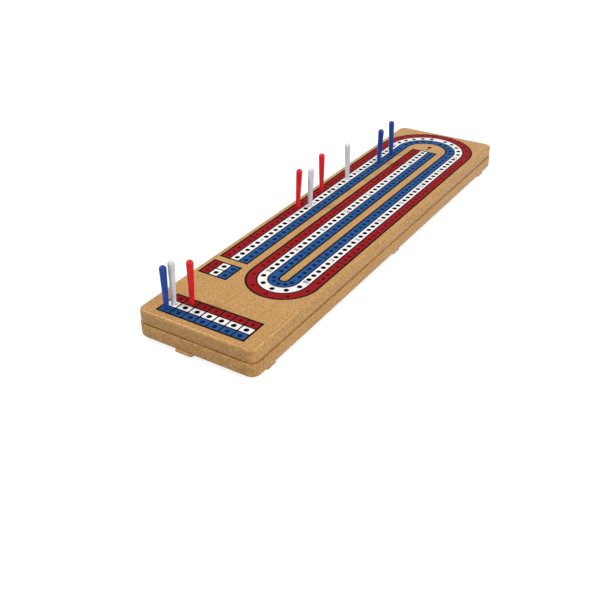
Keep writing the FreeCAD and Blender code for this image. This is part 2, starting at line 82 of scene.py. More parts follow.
# The two shells.
CORNER = 6.0 * MM
CORNER_SEGMENTS = 10
TOP_EDGE = 1.9 * MM
BOTTOM_EDGE = 2.5 * MM
EDGE_SEGMENTS = 7
LOWER_EDGE = 0.2 * MM
RIM_EDGE = 0.25 * MM
ROOM_CORNER = 3.6 * MM
GROOVE_DEPTH = 0.9 * MM
GROOVE_HEIGHT = 1.0 * MM
NECK_HEIGHT = 3 * MM
TONGUE = 0.9 * MM
TONGUE_GAP = 0.1 * MM
SIDE_WALL = 2.4 * MM
TOP_WALL = 3.0 * MM
FLOOR_WALL = 1.6 * MM
RIB_WALL = 1.2 * MM
RIB_HEIGHT = 1.8 * MM
RUNNER_HEIGHT = 0.5 * MM
RUNNER_WIDTH = 3.0 * MM
RUNNER_SPACING = 50.0 * MM
RUNNER_EDGE = 0.2 * MM
FOOT_HEIGHT = 2.0 * MM
FOOT_LENGTH = 9.0 * MM
FOOT_WIDTH = 5.0 * MM
FOOT_INSET = 1.6 * MM
FOOT_END_INSET = 17.0 * MM
FOOT_CORNER = 1.4 * MM
FOOT_EDGE = 0.3 * MM

# The drawer.
FRONT_DEPTH = 7.0 * MM
FRONT_GAP = 0.25 * MM
FRONT_EDGE = 0.3 * MM
TAB_WIDTH = 12.0 * MM
TAB_REACH = 2.0 * MM
TAB_HEIGHT = 1.6 * MM
TAB_MIDDLE = -7.0 * MM
TAB_CORNER = 1.5 * MM
TAB_EDGE = 0.35 * MM
DRAWER_WALL = 1.4 * MM
DRAWER_TRAVEL = 250.0 * MM
DRAWER_GAP = 0.2 * MM
WELLS = 3
WELL_LENGTH = 91.5 * MM
WELL_CORNER = 1.2 * MM
CARD_WIDTH = 65.5 * MM
GUIDE_HEIGHT = 4.0 * MM
GUIDE_SHARES = (0.25, 0.75)
GUIDE_EDGE = 0.4 * MM
SCOOP_RADIUS = 21.0 * MM
SCOOP_DEPTH = 3.6 * MM
SCOOP_SIDES = 96
LUG_LENGTH = 2.0 * MM
LUG_WIDTH = 0.9 * MM
LUG_EDGE = 0.2 * MM

# The peg holes. The turns' holes are spaced in degrees.
HOLE_PITCH = 5.4 * MM
GROUP_PITCH = 9.5 * MM
HOLES_IN_GROUP = 5
GROUPS = 7
HOLES = HOLES_IN_GROUP * GROUPS
TRACK_SPACING = 25.5 * MM
LANE_SPACING = 6.4 * MM
FIRST_HOLE = NEAR_END + 75.0 * MM
LAST_HOLE = FIRST_HOLE + GROUPS * (HOLES_IN_GROUP - 1) * HOLE_PITCH + (GROUPS - 1) * GROUP_PITCH
FAR_TURN = Vector((0, LAST_HOLE + 5.0 * MM, 0))
NEAR_TURN = Vector((TRACK_SPACING / 2, FIRST_HOLE - 6.5 * MM, 0))
FAR_TURN_CLEAR = 13.1
FAR_TURN_STEP = 16.2
NEAR_TURN_STEP = 38.2
START_ROW = FIRST_HOLE - 13.3 * MM
START_PITCH = 8.0 * MM
FINISH_HOLE = LAST_HOLE + 12.8 * MM
GAMES_ROW = NEAR_END + 14.1 * MM
GAMES_ROW_PITCH = 6.0 * MM
GAMES_COLUMN_PITCH = 8.2 * MM
GAMES_COLUMNS = 7
HOLE_RADIUS = 1.6 * MM
HOLE_SIDES = 16
MOUTH_EDGE = 0.18 * MM
MOUTH_FACET = 1.05 * 2 * math.pi * HOLE_RADIUS / HOLE_SIDES
MOUTH_CLEARANCE = 0.1 * MM
BOX_SLICE = 2.9 * MM
LINING_WALL = 0.12 * MM
LINING_DEPTH = 2.7 * MM
LINING_RISE = 0.01 * MM

# The print on the board: three lanes side by side, red, white and blue.
LANES = {"red": -1, "white": 0, "blue": 1}
LANE_WIDTH = 6.45 * MM
PRINT_DEPTH = 0.01 * MM
LANE_RISE = 0.03 * MM
LINE_RISE = 0.05 * MM
LINE_WIDTH = 0.95 * MM
EDGE_LINE_WIDTH = 1.25 * MM
LINE_STEPS = (-1.5, -0.5, 0.5, 1.5)
BAND_REACH = 1.5 * LANE_WIDTH + EDGE_LINE_WIDTH / 2
LANE_END = 3.6 * MM
TURN_STEPS = 40
STEP_LENGTH = 2.7 * MM
FIRST_STEP = 1 * MM
START_CELL = 7.5 * MM
GAMES_CELL = 8.28 * MM
FINISH_TICK = 3.0 * MM
FINISH_TICK_GAP = 3.9 * MM

# The figures, which count the holes of one lane in the order of play.
FIGURE_SIZE = 3.6 * MM
FIGURE_THICKENING = 0.06 * MM
END_FIGURE_GAP = 3.4 * MM
BACK_FROM = HOLES + 2 * HOLES_IN_GROUP
BACK_TO = BACK_FROM + HOLES
HOME_FROM = BACK_TO + HOLES_IN_GROUP

# The pegs. They lean about a level axis that lies this far to the left of straight ahead.
PEG_TIP = 1.15 * MM
PEG_NECK = 1.42 * MM
PEG_HEAD = 2.15 * MM
PEG_DOME = 0.93 * PEG_HEAD
PEG_TIP_EDGE = 0.3 * MM
PEG_DEPTH = 5.0 * MM
PEG_HEIGHT = 27.3 * MM
PEG_SIDES = 32
LEAN_HEADING = math.radians(32.3)

# The studio, in metres and watts: each lamp's place, size and power. The camera's turn is in
# degrees, and its lens and sensor are in millimetres.
FLOOR_SIZE = 6
FLOOR_GREY = (0.40, 0.40, 0.40, 1)
WHITE = (1, 1, 1, 1)
FLOOR_GLOW = 0.80
ROOM_LIGHT = 0.35
LAMPS = {
    "softbox": ((-0.55, -0.26, 0.80), 0.22, 4.1),
    "rim_light": ((0.17, 0.56, 0.78), 0.18, 2.2),
    "side_light": ((1.05, -0.30, 0.38), 0.8, 7.2),
    "front_light": ((0.10, -0.95, 0.50), 0.6, 1.5),
}
CAMERA_PLACE = (0.2394017, -0.4327148, 0.2621715)
CAMERA_TURN = (57.7443, 0.5087, 32.2529)
CAMERA_LENS = 49.064
CAMERA_SENSOR = 36.0


def select_only(*pieces):
    bpy.ops.object.select_all(action="DESELECT")
    for piece in pieces:
        piece.select_set(True)
    bpy.context.view_layer.objects.active = pieces[0]


def settle(piece):
    """Put the piece's place into its mesh."""
    select_only(piece)
    bpy.ops.object.transform_apply(location=True, rotation=True, scale=True)
    return piece


def named(name):
    piece = bpy.context.object
    piece.name = name
    piece.data.name = name
    return piece


def block(name, low, high):
    low, high = Vector(low), Vector(high)
    bpy.ops.object.select_all(action="DESELECT")
    bpy.ops.mesh.primitive_cube_add(size=1, location=(low + high) / 2, scale=high - low)
    return settle(named(name))


def edit(piece, mode="EDGE"):
    select_only(piece)
    bpy.ops.object.mode_set(mode="EDIT")
    bpy.ops.mesh.select_mode(type=mode)
    bpy.ops.mesh.select_all(action="DESELECT")
    return bmesh.from_edit_mesh(piece.data)


def done():
    bpy.ops.object.mode_set(mode="OBJECT")


def pick_edges(piece, test):
    """Into edit mode, with the edges selected whose two ends pass the test."""
    mesh = edit(piece)
    for edge in mesh.edges:
        edge.select_set(test(edge.verts[0].co, edge.verts[1].co))
    bmesh.update_edit_mesh(piece.data)


def round_off(piece, test, width, segments):
    pick_edges(piece, test)
    bpy.ops.mesh.bevel(offset=width, segments=segments, affect="EDGES")
    done()


def near(a, b):
    return abs(a - b) < SAME


def upright(a, b):
    return near(a.x, b.x) and near(a.y, b.y)


def level_at(height):
    return lambda a, b: near(a.z, height) and near(b.z, height)


def combine(piece, tool, operation):
    select_only(piece)
    bpy.ops.object.modifier_add(type="BOOLEAN")
    modifier = piece.modifiers[-1]
    modifier.object = tool
    modifier.operation = operation
    modifier.solver = "MANIFOLD"
    bpy.ops.object.modifier_apply(modifier=modifier.name)
    bpy.data.objects.remove(tool)
    return piece


def cut(piece, tool):
    return combine(piece, tool, "DIFFERENCE")


def fuse(piece, tool):
    return combine(piece, tool, "UNION")


def join(*pieces):
    select_only(*pieces)
    bpy.ops.object.join()
    return pieces[0]


def copy_to(pattern, places):
    """One joined piece: a copy of the pattern, which is drawn about the origin, at each place."""
    copies = []
    for place in places:
        copy = pattern.copy()
        copy.data = pattern.data.copy()
        copy.data.transform(Matrix.Translation(place))
        bpy.context.collection.objects.link(copy)
        copies.append(copy)
    bpy.data.objects.remove(pattern)
    return join(*copies)


def smooth(piece, degrees=35):
    select_only(piece)
    bpy.ops.object.shade_smooth_by_angle(angle=math.radians(degrees))


def finish_piece(piece, material, body, slot, *nodes):
    """Every piece is closed off the same way: its finish, its body and the nodes it stands for."""
    piece.data.materials.clear()
    piece.data.materials.append(material)
    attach(piece, body)
    if nodes:
        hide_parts(*nodes)


# Materials. Each reads Object coordinates, so its pattern keeps to the piece.


class Finish:
    """A material's node tree with short ways to add and link nodes."""

    def __init__(self, name, roughness, specular=0.5):
        self.material = bpy.data.materials.new(name)
        self.material.use_nodes = True
        self.tree = self.material.node_tree
        self.shader = self.tree.nodes["Principled BSDF"]
        self.shader.inputs["Roughness"].default_value = roughness
        self.shader.inputs["Specular IOR Level"].default_value = specular
        self.place = self.tree.nodes.new("ShaderNodeTexCoord").outputs["Object"]

    def node(self, kind, **inputs):
        node = self.tree.nodes.new(kind)
        for name, value in inputs.items():
            self.set(node.inputs[name.replace("_", " ")], value)
        return node

    def set(self, socket, value):
        if isinstance(value, bpy.types.NodeSocket):
            self.tree.links.new(value, socket)
        else:
            socket.default_value = value

    def stretched(self, scale):
        mapping = self.node("ShaderNodeMapping", Vector=self.place)
        mapping.inputs["Scale"].default_value = scale
        return mapping.outputs["Vector"]

    def noise(self, scale, detail=2.0, roughness=0.5, place=None):
        node = self.node("ShaderNodeTexNoise", Vector=place or self.place, Scale=scale)
        node.inputs["Detail"].default_value = detail
        node.inputs["Roughness"].default_value = roughness
        return node.outputs["Fac"]

    def ramp(self, value, *stops):
        node = self.node("ShaderNodeValToRGB", Fac=value)
        ramp = node.color_ramp
        while len(ramp.elements) < len(stops):
            ramp.elements.new(1.0)
        for element, (position, colour) in zip(ramp.elements, stops):
            element.position = position
            element.color = (*colour, 1.0)
        return node.outputs["Color"]

    def mix(self, factor, first, second, blend="MIX"):
        node = self.tree.nodes.new("ShaderNodeMix")
        node.data_type = "RGBA"
        node.blend_type = blend
        self.set(node.inputs[0], factor)
        for socket, value in ((node.inputs[6], first), (node.inputs[7], second)):
            self.set(socket, value if isinstance(value, bpy.types.NodeSocket) else (*value, 1.0))
        return node.outputs[2]

    def bump(self, height, strength, distance):
        node = self.node("ShaderNodeBump", Height=height, Strength=strength)
        node.inputs["Distance"].default_value = distance
        self.set(self.shader.inputs["Normal"], node.outputs["Normal"])

    def colour(self, value):
        self.set(self.shader.inputs["Base Color"], value)


def tan_moulding():
    """Tan plastic with a fine sandy grain and faint streaks where it flowed along the mould."""
    finish = Finish("tan_moulding", roughness=0.55, specular=0.05)
    finish.shader.inputs["Coat Weight"].default_value = 0.34
    finish.shader.inputs["Coat Roughness"].default_value = 0.24
    streaks = finish.noise(300, 3.0, 0.6, finish.stretched((1.0, 0.12, 1.0)))
    tone = finish.ramp(streaks, (0.32, (0.480, 0.258, 0.080)), (0.68, (0.550, 0.306, 0.102)))
    sand = finish.noise(850, 4.0, 0.75)
    grain = finish.ramp(sand, (0.38, (0.70, 0.66, 0.60)), (0.62, (1.27, 1.30, 1.38)))
    finish.colour(finish.mix(1.0, tone, grain, "MULTIPLY"))
    finish.bump(sand, 0.5, 0.10 * MM)
    return finish.material


def print_ink(name, deep, bright, roughness=0.6):
    """A stamped print, a little uneven where the foil took more or less."""
    finish = Finish(name, roughness, specular=0.06)
    cover = finish.noise(900, 3.0, 0.6)
    finish.colour(finish.ramp(cover, (0.34, deep), (0.64, bright)))
    finish.bump(finish.noise(1500, 2.0, 0.6), 0.25, 0.07 * MM)
    return finish.material


def hole_wall(name, deep, bright):
    """The rough inner wall of the peg holes, in the colours passed in. The white lane's walls are
    painted shade; the red lane's are painted lighter than its print to offset the shade in the
    holes.
    """
    finish = Finish(name, roughness=0.7, specular=0.1)
    pits = finish.noise(1300, 2.0, 0.5)
    finish.colour(finish.ramp(pits, (0.35, deep), (0.65, bright)))
    finish.bump(pits, 0.3, 0.08 * MM)
    return finish.material


def peg_plastic(name, deep, bright, translucency):
    """Glossy peg plastic with a faint cloudiness along its length."""
    finish = Finish(name, roughness=0.3, specular=0.2)
    cloud = finish.noise(260, 2.0, 0.5, finish.stretched((1.0, 1.0, 0.25)))
    finish.colour(finish.ramp(cloud, (0.35, deep), (0.65, bright)))
    finish.shader.inputs["Subsurface Weight"].default_value = translucency
    finish.shader.inputs["Subsurface Scale"].default_value = 1.5 * MM
    finish.bump(finish.noise(700, 1.0, 0.5), 0.08, 0.05 * MM)
    return finish.material


TAN = tan_moulding()
INKS = {
    "red": print_ink("red_print", (0.225, 0.005, 0.007), (0.320, 0.009, 0.012)),
    "white": print_ink("white_print", (0.820, 0.810, 0.800), (0.900, 0.890, 0.885)),
    "blue": print_ink("blue_print", (0.008, 0.060, 0.205), (0.022, 0.108, 0.320)),
}
HOLE_WALLS = {
    # Brighter than the red print: the print's red with painted light that offsets the shade inside
    # the holes.
    "red": hole_wall("red_hole_wall_painted_light", (0.380, 0.010, 0.016), (0.480, 0.020, 0.030)),
    # Near black: painted shade, where the hole walls are tan plastic in shadow.
    "white": hole_wall("painted_shade_hole_wall", (0.012, 0.005, 0.003), (0.040, 0.018, 0.010)),
    "blue": hole_wall("blue_hole_wall", (0.012, 0.050, 0.180), (0.020, 0.080, 0.260)),
}
LINE_INK = print_ink("line_print", (0.005, 0.002, 0.002), (0.012, 0.004, 0.004), 0.7)
FIGURE_INK = print_ink("figure_print", (0.060, 0.055, 0.060), (0.120, 0.110, 0.115))
PEG_PLASTICS = {
    "red": peg_plastic("red_peg_plastic", (0.660, 0.010, 0.018), (0.760, 0.018, 0.028), 0.05),
    "white": peg_plastic("white_peg_plastic", (0.600, 0.610, 0.645), (0.740, 0.750, 0.785), 0.35),
    "blue": peg_plastic("blue_peg_plastic", (0.010, 0.046, 0.260), (0.016, 0.066, 0.345), 0.05),
}


# Places of the peg holes.


def along_straight(index):
    """How far up the board a hole of a straight lies, counted from the near end."""
    groups = index // HOLES_IN_GROUP
    return FIRST_HOLE + (index - groups) * HOLE_PITCH + groups * GROUP_PITCH


def group_gap(group):
    """The middle of the gap after this many groups, counted along a straight."""
    return (along_straight(group * HOLES_IN_GROUP) + along_straight(group * HOLES_IN_GROUP - 1)) / 2


def on_turn(middle, radius, degrees):
    """A point of a turn, its angle counted from straight ahead, positive to the right."""
    angle = math.radians(degrees)
    return middle + radius * Vector((math.sin(angle), math.cos(angle), 0))


def lane_holes(lane):
    """Every hole of one lane: three straights, two turns, the start box and the games row."""
    holes = []
    side = LANES[lane] * LANE_SPACING
    for straight in (-1, 0, 1):
        x = straight * TRACK_SPACING + (-side if straight == 1 else side)
        holes += [Vector((x, along_straight(index), 0)) for index in range(HOLES)]
    for index in range(HOLES_IN_GROUP):
        angle = FAR_TURN_CLEAR + index * FAR_TURN_STEP
        holes += [on_turn(FAR_TURN, TRACK_SPACING - side, turn) for turn in (-angle, angle)]
        turn = 180 + (index - HOLES_IN_GROUP // 2) * NEAR_TURN_STEP
        holes.append(on_turn(NEAR_TURN, TRACK_SPACING / 2 - side, turn))
    for row in (0, 1):
        holes.append(Vector((side - TRACK_SPACING, START_ROW - row * START_PITCH, 0)))
    y = GAMES_ROW - LANES[lane] * GAMES_ROW_PITCH
    for column in range(GAMES_COLUMNS):
        holes.append(Vector(((column - GAMES_COLUMNS // 2) * GAMES_COLUMN_PITCH, y, 0)))
    return holes


def plug(radius, low, high):
    """A round cutter about the origin's upright axis."""
    bpy.ops.object.select_all(action="DESELECT")
    bpy.ops.mesh.primitive_cylinder_add(
        vertices=HOLE_SIDES, radius=radius, depth=high - low, location=(0, 0, (low + high) / 2)
    )
    return settle(named("plug"))


# The playing board.


def playing_board():
    """The upper shell: a body over an inset neck, hollow below, with the peg holes through it."""
    body_low = BOARD_LOW + Vector((0, 0, GROOVE_HEIGHT))
    board = block("playing_board", body_low, BOARD_HIGH)
    round_off(board, upright, CORNER - RIM_STEP, CORNER_SEGMENTS)
    round_off(board, level_at(TOP), TOP_EDGE, EDGE_SEGMENTS)
    round_off(board, level_at(body_low.z), LOWER_EDGE, segments=2)
    inset = Vector((GROOVE_DEPTH, GROOVE_DEPTH, 0))
    neck_high = BOARD_HIGH - inset
    neck_high.z = PARTING + NECK_HEIGHT
    neck = block("neck", BOARD_LOW + inset, neck_high)
    round_off(neck, upright, CORNER - RIM_STEP - GROOVE_DEPTH, CORNER_SEGMENTS)
    fuse(board, neck)
    ceiling = TOP - TOP_WALL
    hollow_low, hollow_high = room_under(SIDE_WALL, ceiling)
    cut(board, rounded_room("hollow", hollow_low, hollow_high))
    rebate_wall = SIDE_WALL - TONGUE - TONGUE_GAP
    cut(board, rounded_room("rebate", *room_under(rebate_wall, BASE_HIGH.z + TONGUE_GAP)))
    slice_between_holes(board)
    cut(board, copy_to(plug(HOLE_RADIUS, ceiling - PAST, TOP + PAST), all_holes()))
    soften_mouths(board)
    join(board, *board_ribs(hollow_low, hollow_high))
    smooth(board)
    finish_piece(board, TAN, "box", "tan_plastic", "board_shell")


def room_under(wall, height):
    """The lowest and highest corner of a room inside the board's outline, open below."""
    side = Vector((wall, wall, 0))
    low = BOARD_LOW + side
    low.z = PARTING - PAST
    high = BOARD_HIGH - side
    high.z = height
    return low, high


def rounded_room(name, low, high):
    room = block(name, low, high)
    round_off(room, upright, ROOM_CORNER, segments=6)
    return room


def slice_between_holes(board):
    """Divide the board's faces between the rows and columns of holes."""
    for group in range(GROUPS):
        rows = [along_straight(group * HOLES_IN_GROUP + index) for index in range(HOLES_IN_GROUP)]
        for row in (rows[0] - HOLE_PITCH, *rows):
            slice_at(board, (0, row + HOLE_PITCH / 2, 0), (0, 1, 0))
    games_rows = (GAMES_ROW + row * GAMES_ROW_PITCH for row in (-1, 0, 1))
    for y in (START_ROW, START_ROW - START_PITCH, *games_rows):
        for side in (-1, 1):
            slice_at(board, (0, y + side * BOX_SLICE, 0), (0, 1, 0))
    for straight in (-1, 0, 1):
        for step in LINE_STEPS:
            slice_at(board, (straight * TRACK_SPACING + step * LANE_SPACING, 0, 0), (1, 0, 0))


def slice_at(piece, place, facing):
    edit(piece)
    bpy.ops.mesh.select_all(action="SELECT")
    bpy.ops.mesh.bisect(plane_co=place, plane_no=facing)
    done()


def all_holes():
    holes = [hole for lane in LANES for hole in lane_holes(lane)]
    return holes + [Vector((0, FINISH_HOLE, 0))]


def soften_mouths(board):
    """A small rounding at the mouth of every hole, found by its short edges on the flat top."""
    at_top = level_at(TOP)
    flat_x = BOARD_HIGH.x - TOP_EDGE - MOUTH_CLEARANCE

    def is_mouth(a, b):
        return at_top(a, b) and abs(a.x) < flat_x and (a - b).length < MOUTH_FACET

    round_off(board, is_mouth, MOUTH_EDGE, segments=2)


def board_ribs(low, high):
    """Stiffeners under the board: two between the tracks, one across each gap between groups."""
    bottom, ceiling = high.z - RIB_HEIGHT, high.z + OVERLAP
    half = RIB_WALL / 2
    ribs = []
    for x in (-TRACK_SPACING / 2, TRACK_SPACING / 2):
        ribs.append(block("rib", (x - half, FIRST_HOLE, bottom), (x + half, LAST_HOLE, ceiling)))
    for group in range(1, GROUPS):
        y = group_gap(group)
        left, right = low.x - OVERLAP, high.x + OVERLAP
        ribs.append(block("rib", (left, y - half, bottom), (right, y + half, ceiling)))
    return ribs


# The print.


def ribbon(name, offset, width, low, high):
    """A band along the whole track, at an offset to the right of its middle on the way out."""
    start = FIRST_HOLE - LANE_END
    x = offset - TRACK_SPACING
    bpy.ops.object.select_all(action="DESELECT")
    bpy.ops.mesh.primitive_plane_add(size=width, location=(x, start, low))
    band = settle(named(name))
    mesh = edit(band, "VERT")
    for vert in mesh.verts:
        vert.co.y = start if vert.co.y < start else start + FIRST_STEP
    for edge in mesh.edges:
        edge.select_set(all(vert.co.y > start + FIRST_STEP / 2 for vert in edge.verts))
    bmesh.update_edit_mesh(band.data)
    bpy.ops.mesh.select_mode(type="EDGE")
    slide(FAR_TURN.y - start - FIRST_STEP)
    swing(FAR_TURN, low)
    slide(NEAR_TURN.y - FAR_TURN.y)
    swing(NEAR_TURN, low)
    slide(LAST_HOLE + LANE_END - NEAR_TURN.y)
    raise_sheet(band, high - low)
    done()
    return band


def slide(distance):
    """Run the picked edge on by this distance, in steps a little shorter than a hole is wide."""
    steps = math.ceil(abs(distance) / STEP_LENGTH)
    for _ in range(steps):
        bpy.ops.mesh.extrude_region_move(TRANSFORM_OT_translate={"value": (0, distance / steps, 0)})


def swing(middle, height):
    """Spin the picked edge half way round a turn of the track."""
    centre = (middle.x, middle.y, height)
    bpy.ops.mesh.spin(steps=TURN_STEPS, angle=math.pi, center=centre, axis=(0, 0, 1))


def raise_sheet(piece, height):
    """Turn the flat sheet that is being edited into a thin closed slab, outward on every side."""
    bpy.ops.mesh.select_all(action="SELECT")
    bpy.ops.mesh.remove_doubles(threshold=WELD)
    bpy.ops.mesh.normals_make_consistent(inside=False)
    mesh = bmesh.from_edit_mesh(piece.data)
    mesh.normal_update()
    if sum(face.normal.z for face in mesh.faces) < 0:
        bpy.ops.mesh.flip_normals()
    bpy.ops.mesh.extrude_region_move(TRANSFORM_OT_translate={"value": (0, 0, height)})


def slab(name, x0, x1, y0, y1, rise):
    """A thin block on the playing surface, from a little below it to its rise above."""
    return block(name, (x0, y0, TOP - PRINT_DEPTH), (x1, y1, TOP + rise))


def start_span(row):
    """Where a row of start cells begins and ends, along the board."""
    middle = START_ROW - row * START_PITCH
    return middle - START_CELL / 2, middle + START_CELL / 2


def lane_print(lane):
    """One colour of the print: its lane, its two start cells and its row of games cells."""
    side = LANES[lane] * LANE_SPACING
    low, high = TOP - PRINT_DEPTH, TOP + LANE_RISE
    parts = [ribbon(f"{lane}_lane", side, LANE_WIDTH, low, high)]
    x = side - TRACK_SPACING
    half = LANE_WIDTH / 2
    for row in (0, 1):
        parts.append(slab("start", x - half, x + half, *start_span(row), LANE_RISE))
    y = GAMES_ROW - LANES[lane] * GAMES_ROW_PITCH
    low_y, high_y = y - GAMES_ROW_PITCH / 2, y + GAMES_ROW_PITCH / 2
    for column in range(GAMES_COLUMNS):
        left = (column - GAMES_COLUMNS / 2) * GAMES_CELL
        parts.append(slab("games", left, left + GAMES_CELL, low_y, high_y, LANE_RISE))
    print_piece = join(*parts)
    mouths = plug(HOLE_RADIUS - LINING_WALL / 2, TOP - PAST, TOP + PAST)
    cut(print_piece, copy_to(mouths, lane_holes(lane)))
    smooth(print_piece)
    finish_piece(print_piece, INKS[lane], "box", f"{lane}_plastic")


def hole_linings(lane):
    """The walls of one lane's peg holes, each a thin sleeve flush with the print. The white lane's
    sleeves, and the finish hole's, are dark sheets of painted shade; the red lane's carry painted
    light.
    """
    sleeve = plug(HOLE_RADIUS + LINING_RISE, TOP - LINING_DEPTH, TOP + LANE_RISE + LINING_RISE)
    cut(sleeve, plug(HOLE_RADIUS - LINING_WALL, TOP - 2 * LINING_DEPTH, TOP + PAST))
    holes = lane_holes(lane)
    # The finish hole gets the white lane's dark sleeve of painted shade.
    if lane == "white":
        holes.append(Vector((0, FINISH_HOLE, -LANE_RISE)))
    linings = copy_to(sleeve, holes)
    linings.name = f"{lane}_hole_linings"
    smooth(linings)
    slot = "tan_plastic" if lane == "white" else f"{lane}_plastic"
    finish_piece(linings, HOLE_WALLS[lane], "box", slot)


def line_print():
    """The fine lines round the lanes, the start box and the games cells, and the finish tick."""
    lines = track_lines() + group_lines()
    lines.append(across(-FINISH_TICK / 2, FINISH_TICK / 2, FINISH_HOLE - FINISH_TICK_GAP))
    piece = join(*lines, *start_lines(), *games_lines())
    smooth(piece)
    piece.name = "track_lines"
    finish_piece(piece, LINE_INK, "box", "tan_plastic")


def line_width(step):
    """A line between lanes is finer than one along the edge of the band."""
    return LINE_WIDTH if abs(step) < 1 else EDGE_LINE_WIDTH


def track_lines():
    """The four lines along the whole track and the one that closes it at each end."""
    low, high = TOP - PRINT_DEPTH, TOP + LINE_RISE
    lines = [ribbon("line", step * LANE_WIDTH, line_width(step), low, high) for step in LINE_STEPS]
    for x, y in ((-TRACK_SPACING, FIRST_HOLE - LANE_END), (0, LAST_HOLE + LANE_END)):
        lines.append(across(x - BAND_REACH, x + BAND_REACH, y, EDGE_LINE_WIDTH))
    return lines


def group_lines():
    """A line across the red and the blue lane at each gap between groups."""
    lines = []
    for straight in (-1, 0, 1):
        for group in range(1, GROUPS):
            for side in (-1, 1):
                middle = straight * TRACK_SPACING + side * LANE_WIDTH
                ends = (middle - LANE_WIDTH / 2, middle + LANE_WIDTH / 2)
                lines.append(across(*ends, group_gap(group)))
    return lines


def across(x0, x1, y, width=LINE_WIDTH):
    return slab("line", x0, x1, y - width / 2, y + width / 2, LINE_RISE)


def upright_line(x, y0, y1, width):
    return slab("line", x - width / 2, x + width / 2, y0, y1, LINE_RISE)


def start_lines():
    lines = []
    bottom, top = start_span(1)[0], start_span(0)[1]
    middle = (bottom + top) / 2
    for y, width in ((bottom, EDGE_LINE_WIDTH), (middle, LINE_WIDTH), (top, EDGE_LINE_WIDTH)):
        lines.append(across(-TRACK_SPACING - BAND_REACH, BAND_REACH - TRACK_SPACING, y, width))
    for step in LINE_STEPS:
        lines.append(upright_line(step * LANE_WIDTH - TRACK_SPACING, bottom, top, line_width(step)))
    return lines


def games_lines():
    lines = []
    wide = GAMES_COLUMNS * GAMES_CELL / 2
    for step in LINE_STEPS:
        y = GAMES_ROW + step * GAMES_ROW_PITCH
        ends = (-wide - EDGE_LINE_WIDTH / 2, wide + EDGE_LINE_WIDTH / 2)
        lines.append(across(*ends, y, line_width(step)))
    reach = 1.5 * GAMES_ROW_PITCH
    for column in range(GAMES_COLUMNS + 1):
        x = column * GAMES_CELL - wide
        width = LINE_WIDTH if abs(x) < wide - GAMES_CELL / 2 else EDGE_LINE_WIDTH
        lines.append(upright_line(x, GAMES_ROW - reach, GAMES_ROW + reach, width))
    return lines


def figure_spots():
    """Each number with its place: at the gaps between groups and past the ends of the straights."""
    spots = []
    for group in range(1, GROUPS):
        y = group_gap(group)
        spots.append((group * HOLES_IN_GROUP, -TRACK_SPACING, y))
        spots.append((BACK_FROM + (GROUPS - group) * HOLES_IN_GROUP, TRACK_SPACING, y))
        spots.append((HOME_FROM + group * HOLES_IN_GROUP, 0, y))
    near_y, far_y = FIRST_HOLE - END_FIGURE_GAP, LAST_HOLE + END_FIGURE_GAP
    spots += [(BACK_TO, TRACK_SPACING, near_y), (HOME_FROM, 0, near_y)]
    return spots + [(HOLES, -TRACK_SPACING, far_y), (BACK_FROM, TRACK_SPACING, far_y)]


def figure(number, x, y):
    bpy.ops.object.select_all(action="DESELECT")
    bpy.ops.object.text_add()
    text = bpy.context.object.data
    text.body = str(number)
    text.align_x = "CENTER"
    text.align_y = "CENTER"
    text.size = FIGURE_SIZE
    text.offset = FIGURE_THICKENING
    text.extrude = LINE_RISE / 2
    text.resolution_u = 3
    bpy.ops.object.convert(target="MESH")
    piece = bpy.context.object
    piece.location = (x, y, TOP + LINE_RISE / 2)
    return settle(piece)


def group_figures():
    piece = join(*(figure(*spot) for spot in figure_spots()))
    piece.name = "group_figures"
    finish_piece(piece, FIGURE_INK, "box", "tan_plastic")


# The lower half and the drawer.


def lower_half(name, low, high):
    """The rounded outline that the base and the drawer's front share, between two heights."""
    near_face = NEAR_END - FACE_OUT
    body = block(name, (-BASE_HIGH.x, near_face, low), (BASE_HIGH.x, FAR_END, high))
    round_off(body, upright, CORNER, CORNER_SEGMENTS)
    round_off(body, level_at(low), BOTTOM_EDGE, EDGE_SEGMENTS)
    return body


def base():
    """The lower shell, open at the near end, where the drawer's front closes it."""
    body = lower_half("base", FOOT_HEIGHT, PARTING)
    inside = BASE_HIGH.x - SIDE_WALL
    bottom = FOOT_HEIGHT + FLOOR_WALL
    beyond = NEAR_END - FAR_PAST
    above = PARTING + FAR_PAST
    joint = NEAR_END + FRONT_DEPTH
    cut(body, block("bay", (-inside, beyond, bottom), (inside, FAR_END - SIDE_WALL, above)))
    wide = BASE_HIGH.x + FAR_PAST
    cut(body, block("mouth", (-wide, beyond, 0), (wide, joint, above)))
    round_off(body, level_at(PARTING), RIM_EDGE, segments=2)
    for part in (tongue(joint, inside), *runners(joint, bottom), *feet()):
        fuse(body, part)
    smooth(body)
    finish_piece(body, TAN, "box", "tan_plastic", "base_shell")


def tongue(joint, inside):
    outer = block(
        "tongue",
        (-inside - TONGUE, joint, PARTING - DEEP_OVERLAP),
        (inside + TONGUE, FAR_END - SIDE_WALL + TONGUE, BASE_HIGH.z),
    )
    cut(outer, block("inner", (-inside, joint - FAR_PAST, 0), (inside, FAR_END - SIDE_WALL, TOP)))
    return outer


def runners(joint, bottom):
    strips = []
    half = RUNNER_WIDTH / 2
    top = bottom + RUNNER_HEIGHT
    for side in (-1, 1):
        x = side * RUNNER_SPACING / 2
        low, high = (x - half, joint, bottom - OVERLAP), (x + half, FAR_END - SIDE_WALL, top)
        strip = block("runner", low, high)
        round_off(strip, level_at(top), RUNNER_EDGE, segments=2)
        strips.append(strip)
    return strips


